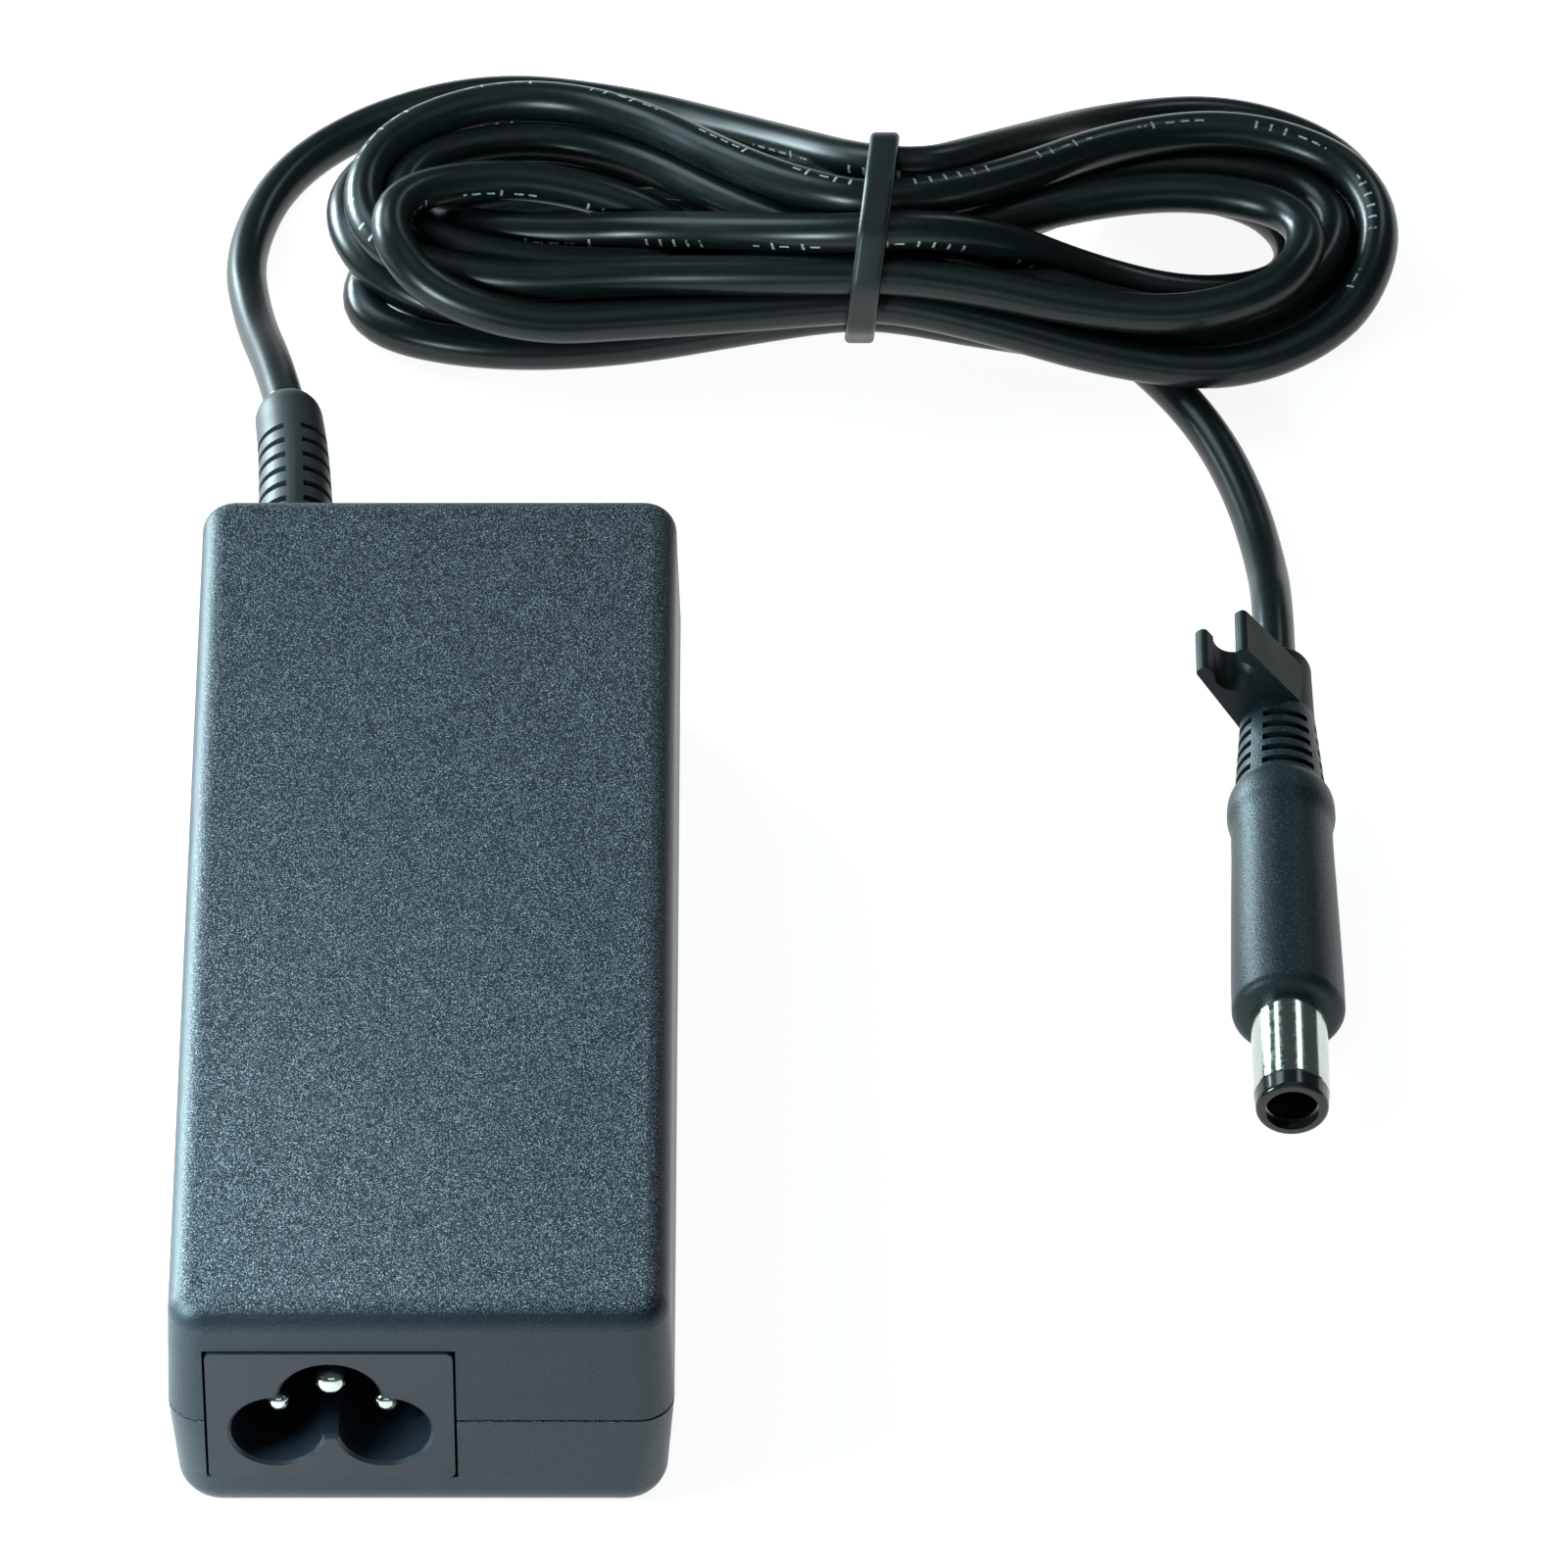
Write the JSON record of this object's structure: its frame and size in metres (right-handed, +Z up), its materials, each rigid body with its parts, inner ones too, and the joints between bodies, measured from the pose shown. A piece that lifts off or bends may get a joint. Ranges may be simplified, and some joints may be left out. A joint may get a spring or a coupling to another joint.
{
  "type": "laptop power adapter",
  "caption": "Laptop mains adapter: slim box case with a C6 inlet, strain-relieved output cord tied in a hank, and a barrel plug with a cord clip.",
  "frame": {"origin": "centre of the case's underside, at the middle of its length and width", "axes": "+Z up from the surface it lies on, -Y out of the mains inlet's face, +Y towards the cord's exit, +X towards the plug's side"},
  "size_m": [0.1199, 0.2013, 0.0268],
  "materials": {
    "case_plastic": "fine spark-eroded grain, moulded polycarbonate blend",
    "inlet_plastic": "fine satin moulded plastic",
    "nickel_plate": "bright nickel plate on brass",
    "relief_rubber": "matt moulded elastomer",
    "cord_jacket": "glossy extruded vinyl jacket",
    "band_rubber": "satin rubber",
    "tip_plastic": "glossy black moulded plastic",
    "plug_rubber": "fine grained matt elastomer",
    "clip_plastic": "satin moulded plastic",
    "label_film": "blank satin film",
    "board_laminate": "solder-masked glass laminate",
    "insulation_film": "thin translucent film",
    "shield_aluminium": "mill finish sheet",
    "component_black": "moulded epoxy",
    "zinc_steel": "zinc plated",
    "capacitor_sleeve": "shrink sleeve",
    "ferrite": "sintered ferrite",
    "copper_winding": "enamelled copper",
    "film_capacitor": "glossy moulded box",
    "disc_blue": "epoxy dipped disc",
    "disc_green": "epoxy dipped disc",
    "wire_insulation": "extruded insulation",
    "earth_insulation": "extruded insulation"
  },
  "bodies": {
    "root": {"bottom_cover": "case_plastic", "top_cover": "case_plastic", "rating_label": "label_film", "inlet_housing": "inlet_plastic", "line_pin": "nickel_plate", "neutral_pin": "nickel_plate", "earth_pin": "nickel_plate", "output_strain_relief": "relief_rubber", "output_cord_lead": "cord_jacket", "plug_cord_lead": "cord_jacket", "cord_hank": "cord_jacket", "cord_tie_band": "band_rubber", "output_cord_tail": "cord_jacket", "plug_barrel": "nickel_plate", "plug_tip_insulator": "tip_plastic", "plug_inner_contact": "nickel_plate", "plug_centre_pin": "nickel_plate", "plug_core": "tip_plastic", "plug_wires": "wire_insulation", "plug_cord_tail": "cord_jacket", "plug_boot": "plug_rubber", "cord_clip": "clip_plastic", "main_pcb": "board_laminate", "insulation_sheet": "insulation_film", "heat_shield_bottom": "shield_aluminium", "heat_shield_top": "shield_aluminium", "primary_heatsink": "shield_aluminium", "secondary_heatsink": "shield_aluminium", "switching_transistor": "component_black", "output_rectifier": "component_black", "heatsink_screws": "zinc_steel", "bulk_capacitor": "capacitor_sleeve", "output_capacitors": "capacitor_sleeve", "transformer_core": "ferrite", "transformer_bobbin": "component_black", "transformer_winding": "copper_winding", "line_choke_core": "ferrite", "line_choke_winding": "copper_winding", "output_choke_core": "ferrite", "output_choke_winding": "copper_winding", "x_capacitor": "film_capacitor", "y_capacitors": "disc_blue", "thermistor": "disc_green", "fuse": "component_black", "bridge_rectifier": "component_black", "optocoupler": "component_black", "controller_ic": "component_black", "mains_wires": "wire_insulation", "earth_wire": "earth_insulation", "output_wires": "wire_insulation"}
  },
  "joints": []
}
